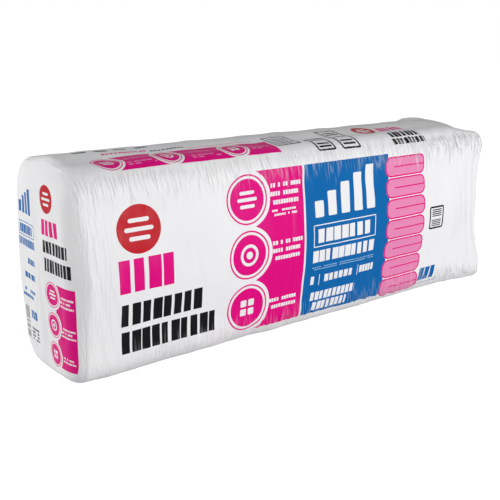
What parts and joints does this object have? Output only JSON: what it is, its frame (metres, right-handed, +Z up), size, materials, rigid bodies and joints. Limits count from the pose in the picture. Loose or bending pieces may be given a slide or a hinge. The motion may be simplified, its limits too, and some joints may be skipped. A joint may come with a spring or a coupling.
{
  "type": "bagged bundle of fiberglass insulation batts",
  "caption": "Long block-shaped film bag of folded, pressed fiberglass insulation batts, printed, with one heat-sealed gusset end, lying on its long edge.",
  "frame": {"origin": "on the floor under the middle of the bundle's outer box", "axes": "+X along the bag towards its heat-sealed end, +Y through the stack of batts away from the printed broad side, +Z up"},
  "size_m": [1.1996, 0.282, 0.4186],
  "materials": {
    "film": "glossy white printed polyethylene film",
    "fiberglass": "matte pink mineral wool"
  },
  "bodies": {
    "root": {"film_bag": "film", "batt_1": "fiberglass", "batt_2": "fiberglass", "batt_3": "fiberglass", "batt_4": "fiberglass", "batt_5": "fiberglass", "batt_6": "fiberglass", "batt_7": "fiberglass", "batt_8": "fiberglass"}
  },
  "joints": []
}
